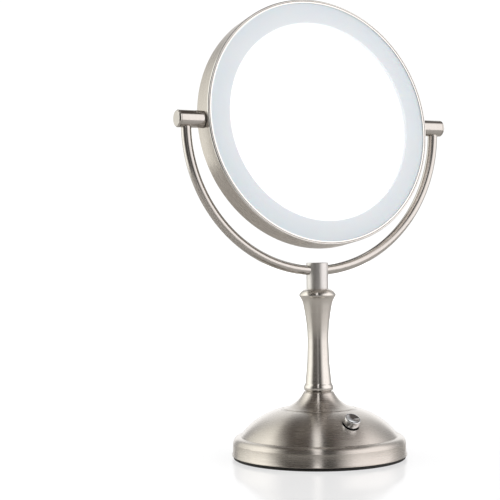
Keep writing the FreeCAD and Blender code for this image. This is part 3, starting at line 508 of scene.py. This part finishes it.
for part in frame["record"]["subparts"]:
    node = frame["nodes"][part["node"]]
    finish = FINISHES[part["material_slot"]]
    if not node.material_slots:
        node.data.materials.append(finish)
    for holder in node.material_slots:
        holder.material = finish


# ---- head ----

# The band's outer edges are round, and a rib inside it parts the two bezels
EDGE_ROUND = 1.1
RIB_HALF = 5.0
RIB_DEPTH = 0.5
RIB_SLOPE = 0.2
band = lathe("head_band", "head", "frame_band", [
    (BAND_INNER, -BAND_HALF, 0, 0.15), (BAND_RADIUS - EDGE_ROUND, -BAND_HALF, EDGE_ROUND),
    (BAND_RADIUS, -BAND_HALF + EDGE_ROUND), (BAND_RADIUS, BAND_HALF - EDGE_ROUND, EDGE_ROUND),
    (BAND_RADIUS - EDGE_ROUND, BAND_HALF), (BAND_INNER, BAND_HALF, 0, 0.15),
    (BAND_INNER, RIB_HALF), (BAND_INNER - RIB_DEPTH, RIB_HALF - RIB_SLOPE),
    (BAND_INNER - RIB_DEPTH, -RIB_HALF + RIB_SLOPE), (BAND_INNER, -RIB_HALF),
], HEAD_FRONT, NICKEL)
polish_edges(band, BAND_HALF - EDGE_ROUND, BRIGHT)

# The bezel lip covers the light ring's flange; a narrow groove parts it from the band
LIP_START = LIGHT_RADIUS + 0.05
LIP_UNDER = LIGHT_FACE - 0.25
LIP_GROOVE = BAND_INNER - 0.35
LIP_WALL = BAND_INNER - 0.8
LIP_OUTSIDE = BAND_INNER - 0.05

# The light ring has a flange outside its face and a foot that stands round the mirror
RING_START = MIRROR_RADIUS + 0.05
RING_FOOT = MIRROR_RADIUS + 1.9
RING_UNDER = LIGHT_FACE - 2.0
FLANGE_TOP = LIGHT_FACE - 0.4
FLANGE_EDGE = LIGHT_RADIUS + 0.9

for side, place in (("front", HEAD_FRONT), ("rear", HEAD_REAR)):
    lathe(side + "_bezel_lip", "head", side + "_bezel", [
        (LIP_START, LIP_UNDER), (LIP_WALL, LIP_UNDER), (LIP_WALL, RIB_HALF), (LIP_OUTSIDE, RIB_HALF),
        (LIP_OUTSIDE, BAND_HALF - 0.9), (LIP_GROOVE, BAND_HALF - 0.8),
        (LIP_GROOVE, BAND_HALF, 0, 0.3), (LIP_START, BAND_HALF, 0, 0.4),
    ], place, BRIGHT)
    lathe(side + "_frosted_ring", "head", side + "_light_ring", [
        (RING_START, RIB_HALF), (RING_FOOT, RIB_HALF), (RING_FOOT, RING_UNDER),
        (FLANGE_EDGE, RING_UNDER), (FLANGE_EDGE, FLANGE_TOP), (LIGHT_RADIUS, FLANGE_TOP),
        (LIGHT_RADIUS, LIGHT_FACE, 0, 0.18), (RING_START, LIGHT_FACE, 0, 0.7),
    ], place, FROSTED)

MIRROR_BACK = MIRROR_FACE - MIRROR_THICK
lathe("front_mirror_disc", "head", "front_mirror", [
    (0, MIRROR_BACK), (MIRROR_RADIUS, MIRROR_BACK, 0, 0.2),
    (MIRROR_RADIUS, MIRROR_FACE, 0, 0.3), (0, MIRROR_FACE),
], HEAD_FRONT, MIRROR)

# The rear mirror is hollow, to magnify; this is the radius of its curve
HOLLOW = (MIRROR_RADIUS ** 2 + MIRROR_DIP ** 2) / (2 * MIRROR_DIP)
lathe("rear_mirror_disc", "head", "rear_mirror", [
    (0, MIRROR_BACK - MIRROR_DIP, HOLLOW), (MIRROR_RADIUS, MIRROR_BACK, 0, 0.2),
    (MIRROR_RADIUS, MIRROR_FACE, -HOLLOW, 0.3), (0, MIRROR_FACE - MIRROR_DIP),
], HEAD_REAR, MIRROR)


# ---- yoke ----

BARREL_BORE = 5.2
BARREL_FLOOR = BARREL_START + 2.6
CAP_PLUG = 5.1
CAP_DEPTH = 1.4
CAP_SEAM = 0.05
CAP_CHAMFER = 1.0
CAP_TOP = BARREL_END + 2.0

for side, place in (("right", RIGHT_PIVOT), ("left", LEFT_PIVOT)):
    lathe(side + "_pivot_barrel", "stand", side + "_barrel", [
        (ROD_HOLE, BARREL_START), (BARREL_RADIUS, BARREL_START, 0, 0.2),
        (BARREL_RADIUS, BARREL_END - CAP_SEAM, 0, 0.12), (BARREL_BORE, BARREL_END - CAP_SEAM),
        (BARREL_BORE, BARREL_FLOOR), (ROD_HOLE, BARREL_FLOOR),
    ], place, TUBE_NICKEL, FINE_SEGMENTS)
    lathe(side + "_end_cap", "stand", side + "_barrel_cap", [
        (0, BARREL_END - CAP_DEPTH), (CAP_PLUG, BARREL_END - CAP_DEPTH), (CAP_PLUG, BARREL_END + CAP_SEAM),
        (BARREL_RADIUS, BARREL_END + CAP_SEAM, 0, 0.12), (BARREL_RADIUS, CAP_TOP - CAP_CHAMFER, 0, 0.3),
        (BARREL_RADIUS - CAP_CHAMFER, CAP_TOP, 0, 0.3), (0, CAP_TOP),
    ], place, TUBE_NICKEL, FINE_SEGMENTS)


def yoke_bow():
    """Tube bent to a half circle that opens upwards and ends a little below level, inside the barrels."""
    steps = 200
    around = 64
    below_level = 0.8
    vertices = []
    rows = []
    for k in range(steps + 1):
        turn = math.radians(below_level + (180 - 2 * below_level) * k / steps)
        row = []
        for j in range(around):
            angle = 2 * math.pi * j / around
            reach = YOKE_RADIUS + TUBE_RADIUS * math.cos(angle)
            row.append(len(vertices))
            vertices.append((reach * math.cos(turn), TUBE_RADIUS * math.sin(angle), -reach * math.sin(turn)))
        rows.append(row)
    faces = []
    for k in range(steps):
        for j in range(around):
            n = (j + 1) % around
            faces.append((rows[k][j], rows[k + 1][j], rows[k + 1][n], rows[k][n]))
    faces.append(tuple(rows[0]))
    faces.append(tuple(reversed(rows[-1])))
    make_piece("yoke_bow", "stand", "yoke_tube", vertices, faces,
               at(0, 0, YOKE_CENTRE), TUBE_NICKEL)


yoke_bow()

lathe("yoke_collar", "stand", "collar", [
    (ROD_HOLE, STEM_TOP), (COLLAR_RADIUS, STEM_TOP, 0, 0.1), (COLLAR_RADIUS, COLLAR_TOP, 0, 0.9),
    (0, COLLAR_TOP), (0, COLLAR_ROOF), (ROD_HOLE, COLLAR_ROOF),
], STANDING, COLLAR_NICKEL, FINE_SEGMENTS)


# ---- stem and base ----

def centre_out(distance):
    """Point at a distance from the dome's centre, in the direction where the dome turns into the neck."""
    return DOME_CENTRE + distance * math.sin(DOME_TURN), -DOME_DROP + distance * math.cos(DOME_TURN)


FLARE_X, FLARE_Y = centre_out(DOME_RADIUS + FLARE_RADIUS)
TURN_X, TURN_Y = centre_out(DOME_RADIUS)
NECK_TOP = FLARE_Y - math.sqrt(FLARE_RADIUS ** 2 - (FLARE_X - BEAD_RADIUS) ** 2)


def flare_side(height, wall=0.0):
    """Radius of the flared neck at a height, on its outside or a wall's thickness inside it."""
    return FLARE_X - math.sqrt((FLARE_RADIUS + wall) ** 2 - (FLARE_Y - height) ** 2)


def hollow_bend(start, waist):
    """Radius of the arc that is upright at the waist and passes through the other point."""
    inward = abs(start[0] - waist[0])
    along = abs(start[1] - waist[1])
    return (inward * inward + along * along) / (2 * inward)


# Outline of the stem, from the groove under its bead to the bulge at its top
GROOVE = BEAD_RADIUS - 1.3
BELLY = (10.0, 56.3)
WAIST = (8.0, 88.5)
TAPER = (9.86, 110.2)
BULGE_FOOT = (10.9, 116.0)
BULGE_SIDE = (13.5, 122.4)
BULGE_EDGE = (14.0, 124.2)
lathe("turned_stem", "stand", "stem", [
    (STEM_BORE, NECK_TOP), (GROOVE, NECK_TOP), (GROOVE, NECK_TOP + 0.25),
    (BEAD_RADIUS - 0.1, NECK_TOP + 0.55, 4.8),
    (*BELLY, -hollow_bend(BELLY, WAIST), 0.5), (*WAIST, -hollow_bend(TAPER, WAIST)), (*TAPER, 0, 0.4),
    (*BULGE_FOOT, -16.8), (*BULGE_SIDE, 1.6), (*BULGE_EDGE, 7.6), (9.0, STEM_TOP, 0, 0.15),
    (STEM_BORE, STEM_TOP),
], STANDING, STEM_NICKEL_PAINTED_LIGHTER, STEM_SEGMENTS)

# Outside of the base from the neck to the foot, with a turned line where the dome starts, then its inside
FLARE_START = NECK_TOP - 0.45
NECK_UNDER = NECK_TOP - 3
INNER_ROUND = SHOULDER - SHELL_WALL
INNER_RIM = RIM - SHELL_WALL
INNER_CREASE = CREASE - 1.6
shell = lathe("spun_base", "stand", "base_shell", [
    (ROD_HOLE, NECK_TOP), (GROOVE, NECK_TOP), (GROOVE, FLARE_START - 0.05),
    (flare_side(FLARE_START), FLARE_START, FLARE_RADIUS),
    (TURN_X - 0.35, TURN_Y + 0.08), (TURN_X - 0.05, TURN_Y - 0.42),
    (TURN_X + 0.35, TURN_Y - 0.07, -DOME_RADIUS),
    (CREASE, dome_height(CREASE), -SHOULDER, 0.12), (RIM - 0.45, RIM_TOP + 1.1, 0, 0.3),
    (RIM, RIM_TOP + 0.2, 0, 0.3), (RIM + 0.25, FOOT + 1.6),
    (RIM + RIM_FLARE, FOOT + 0.5, 0, 0.12), (RIM + RIM_FLARE, FOOT, 0, 0.1),
    (INNER_RIM, FOOT), (INNER_RIM, RIM_TOP, INNER_ROUND), (INNER_RIM - INNER_ROUND, RIM_TOP + INNER_ROUND),
    (INNER_CREASE, dome_height(INNER_CREASE, SHELL_WALL), DOME_RADIUS - SHELL_WALL),
    (*centre_out(DOME_RADIUS - SHELL_WALL), -FLARE_RADIUS - SHELL_WALL),
    (flare_side(NECK_UNDER, SHELL_WALL), NECK_UNDER), (ROD_HOLE, NECK_UNDER),
], STANDING, NICKEL, BASE_SEGMENTS)


def bore(piece, radius, low, high, place):
    """Cuts a round hole and keeps the smooth shading of the surface round it."""
    whole = piece.copy()
    whole.data = piece.data.copy()
    bpy.context.scene.collection.objects.link(whole)
    vertices, faces = turned([(0, low), (radius, low), (radius, high), (0, high)], FINE_SEGMENTS, False)
    plug = bpy.data.objects.new("plug", new_mesh("plug", vertices, faces))
    bpy.context.scene.collection.objects.link(plug)
    plug.matrix_world = place
    cut = piece.modifiers.new("cut", "BOOLEAN")
    cut.object = plug
    cut.solver = "EXACT"
    keep = piece.modifiers.new("keep", "DATA_TRANSFER")
    keep.object = whole
    keep.use_loop_data = True
    keep.data_types_loops = {"CUSTOM_NORMAL"}
    keep.loop_mapping = "POLYINTERP_NEAREST"
    bpy.context.view_layer.update()
    made = bpy.data.meshes.new_from_object(piece.evaluated_get(bpy.context.evaluated_depsgraph_get()))
    piece.modifiers.clear()
    made.name = piece.data.name
    piece.data = made
    for spare in (plug, whole):
        bpy.data.objects.remove(spare)


# Each hole's radius, and the span along its own axis that reaches right through the wall
BUTTON_GAP = 0.45
BUTTON_SPAN = (-6, 6)
INLET_RADIUS = 3.05
INLET_SPAN = (-70, -60)
bore(shell, BUTTON_RADIUS + BUTTON_GAP, *BUTTON_SPAN, BUTTON_PLACE)
bore(shell, INLET_RADIUS, *INLET_SPAN, INLET_PLACE)

lathe("rubber_foot", "stand", "foot_ring", [
    (FOOT_INNER, 0, 0, 0.5), (FOOT_OUTER, 0, 0, 0.6), (FOOT_OUTER, FOOT), (FOOT_INNER, FOOT),
], STANDING, RUBBER)

# Push button with a dished top, hollow on its plunger
PLUNGER_HOLE = 1.6
PLUNGER_TOP = 2.0
BUTTON_SKIRT = -3.5
BUTTON_DISH = 0.7
lathe("button_top", "button", "button_cap", [
    (PLUNGER_HOLE, BUTTON_SKIRT), (BUTTON_RADIUS, BUTTON_SKIRT), (BUTTON_RADIUS, BUTTON_HEIGHT, 0, 0.75),
    (BUTTON_RADIUS - 1.15, BUTTON_HEIGHT, -17.7, 0.2), (0, BUTTON_HEIGHT - BUTTON_DISH),
    (0, PLUNGER_TOP), (PLUNGER_HOLE, PLUNGER_TOP),
], BUTTON_PLACE, CHROME, FINE_SEGMENTS)


# ---- floor ----

# In metres. The floor glows white for the camera, more so away from the object. All other rays meet a table
# that ends, so that metal reflects the panels beyond it.
WHITE = (1.0, 1.0, 1.0)
GLOW_START = 0.18
GLOW_END = 0.62
GLOW_NEAR = 0.59
GLOW_RISE = 0.5
TABLE_HALF = 0.75
TABLE_FADE = 0.08
FLOOR_HALF = 12.0
FLOOR_DROP = 0.0001


def lit_floor():
    """Floor that the camera sees clipped to white away from the object; the metal reflects a table."""
    shader = new_shader("studio_floor")
    cloud = shader.noise(6.0)
    away = shader.node("ShaderNodeVectorMath", {"operation": "LENGTH"}, Vector=shader.coords).outputs["Value"]
    rise = shader.remap(away, GLOW_START, GLOW_END, curve="SMOOTHSTEP")
    glow = shader.math("ADD", shader.math("MULTIPLY", rise, GLOW_RISE), GLOW_NEAR)
    light = shader.node("ShaderNodeEmission", Color=WHITE, Strength=glow)
    paint = shader.node("ShaderNodeBsdfDiffuse", Color=(0.345, 0.355, 0.37))
    gloss = shader.node("ShaderNodeBsdfGlossy", Color=(0.2, 0.2, 0.2), Roughness=0.1)
    tone = shader.blend(shader.spread(cloud, 0.0, 1.0), (0.80, 0.785, 0.76), (0.82, 0.805, 0.78))
    table = shader.node("ShaderNodeBsdfPrincipled", Base_Color=tone, Roughness=0.32, IOR=1.8)
    clear = shader.node("ShaderNodeBsdfTransparent")
    reflected = shader.mixed(shader.gate(away, TABLE_HALF, TABLE_FADE), table, clear)
    shown = shader.added(shader.added(light, paint), gloss)
    shader.finish(shader.for_camera(reflected, shown))
    return shader.owner


def studio_floor():
    corners = ((-1, -1), (1, -1), (1, 1), (-1, 1))
    mesh = bpy.data.meshes.new("studio_floor")
    mesh.from_pydata([(x * FLOOR_HALF, y * FLOOR_HALF, 0) for x, y in corners], [], [(0, 1, 2, 3)])
    mesh.materials.append(lit_floor())
    floor = bpy.data.objects.new("studio_floor", mesh)
    bpy.context.scene.collection.objects.link(floor)
    floor.location.z = -FLOOR_DROP


studio_floor()


# ---- light ----

# Azimuth that the main view looks from; the panels' azimuths are measured from it
CAMERA_SIDE = -30.2

# Panels round the object: azimuth of the two edges in degrees, softness, upper edge above the horizon,
# colour and strength
PANELS = (
    (-138.0, -112.0, 6.0, 54.0, (1.0, 0.985, 0.91), 0.95),
    (-116.0, -64.0, 18.0, 50.0, (1.0, 0.985, 0.925), 1.52),
    (5.0, 24.0, 4.0, 80.0, (1.0, 0.97, 0.94), 0.06),
    (-10.0, 5.0, 2.0, 50.0, (1.0, 0.98, 0.96), 0.24),
    (36.0, 118.0, 20.0, 50.0, (1.0, 0.96, 0.945), 1.42),
    (155.0, 205.0, 6.0, 38.0, (1.0, 1.0, 1.0), 1.15),
)
PANEL_TOP_SOFT = 6.0

# Studio walls: the darker one, the lighter one behind the object with its two edges and softness, and the
# ceiling with the height that it starts at and its softness, all in degrees
WALL_TONE = (0.095, 0.09, 0.084)
SIDE_TONE = (0.43, 0.425, 0.42)
SIDE_WALL = (120.0, 255.0, 12.0)
CEILING_TONE = (0.10, 0.085, 0.076)
CEILING = (48.0, 8.0)

# Long lamp overhead, in the coordinates of a direction of length 1: middle and half width across, how far it
# runs in front of the object, how far behind it narrows to a point, and the height that it starts at
LAMP_TONE = (1.35, 1.32, 1.30)
LAMP_MIDDLE = -0.035
LAMP_HALF = 0.065
LAMP_SIDE_SOFT = 0.018
LAMP_FRONT = 0.95
LAMP_FRONT_SOFT = 0.03
LAMP_REAR = 0.45
LAMP_LOW = 0.1
LAMP_LOW_SOFT = 0.05

# Strength of the plain white that the camera sees behind the object
BACKDROP = 1.05


def studio_world():
    """Panels, walls and lamp for the object to reflect, and plain white for the camera."""
    shader = Shader(bpy.data.worlds.new("studio"), "ShaderNodeOutputWorld", "Generated")
    x, y, z = shader.axes()
    azimuth = shader.math("DEGREES", shader.math("ARCTAN2", x, shader.math("MULTIPLY", y, -1.0)))
    height = shader.math("DEGREES", shader.math("ARCSINE", z))

    def window(low, high, soft):
        """1 between two azimuths, which may pass behind the object, and 0 elsewhere."""
        middle = CAMERA_SIDE + (low + high) / 2
        off_middle = shader.math("WRAP", shader.math("SUBTRACT", azimuth, middle), 180.0, -180.0)
        return shader.gate(shader.math("ABSOLUTE", off_middle), (high - low) / 2, soft, False)

    colour = shader.blend(window(*SIDE_WALL), WALL_TONE, SIDE_TONE)
    colour = shader.blend(shader.gate(height, *CEILING), colour, CEILING_TONE)
    for low, high, soft, top, tint, strength in PANELS:
        below_top = shader.gate(height, top, PANEL_TOP_SOFT, False)
        lit = shader.math("MULTIPLY", window(low, high, soft), below_top)
        colour = shader.blend(lit, colour, [c * strength for c in tint])

    side = math.radians(CAMERA_SIDE)
    front = shader.weighted(x, math.sin(side), y, -math.cos(side))
    right = shader.weighted(x, math.cos(side), y, math.sin(side))
    taper = shader.math("MINIMUM", shader.math("MULTIPLY_ADD", front, 1 / LAMP_REAR, 1.0), 1.0)
    aside = shader.math("ABSOLUTE", shader.math("SUBTRACT", right, LAMP_MIDDLE))
    inside = shader.math("SUBTRACT", shader.math("MULTIPLY", taper, LAMP_HALF), aside)
    lit = shader.gate(inside, 0.0, LAMP_SIDE_SOFT)
    lit = shader.math("MULTIPLY", lit, shader.gate(front, LAMP_FRONT, LAMP_FRONT_SOFT, False))
    lit = shader.math("MULTIPLY", lit, shader.gate(z, LAMP_LOW, LAMP_LOW_SOFT))
    colour = shader.blend(lit, colour, LAMP_TONE)

    studio = shader.node("ShaderNodeBackground", Color=colour, Strength=1.0)
    white = shader.node("ShaderNodeBackground", Color=WHITE, Strength=BACKDROP)
    shader.finish(shader.for_camera(studio, white))
    bpy.context.scene.world = shader.owner


studio_world()
bpy.context.scene.view_settings.view_transform = "Standard"


# ---- camera ----

# In metres and radians: where the camera is, which way it looks and how far it is rolled
CAMERA_PLACE = Vector((-0.49075, -0.84318, 0.1585))
CAMERA_TURN = math.radians(-27.2)
CAMERA_ROLL = math.radians(-0.7)

lens = bpy.data.cameras.new("camera")
lens.lens = 91.9
lens.sensor_width = 36.0
lens.clip_start = 0.05
lens.clip_end = 60.0
camera = bpy.data.objects.new("camera", lens)
bpy.context.scene.collection.objects.link(camera)
ahead = Vector((-math.sin(CAMERA_TURN), math.cos(CAMERA_TURN), 0))
level = Vector((ahead.y, -ahead.x, 0))
up = Vector((0, 0, 1))
across = level * math.cos(CAMERA_ROLL) + up * math.sin(CAMERA_ROLL)
upward = up * math.cos(CAMERA_ROLL) - level * math.sin(CAMERA_ROLL)
facing = Matrix((across, upward, -ahead)).transposed().to_4x4()
camera.matrix_world = Matrix.Translation(CAMERA_PLACE) @ facing
bpy.context.scene.camera = camera
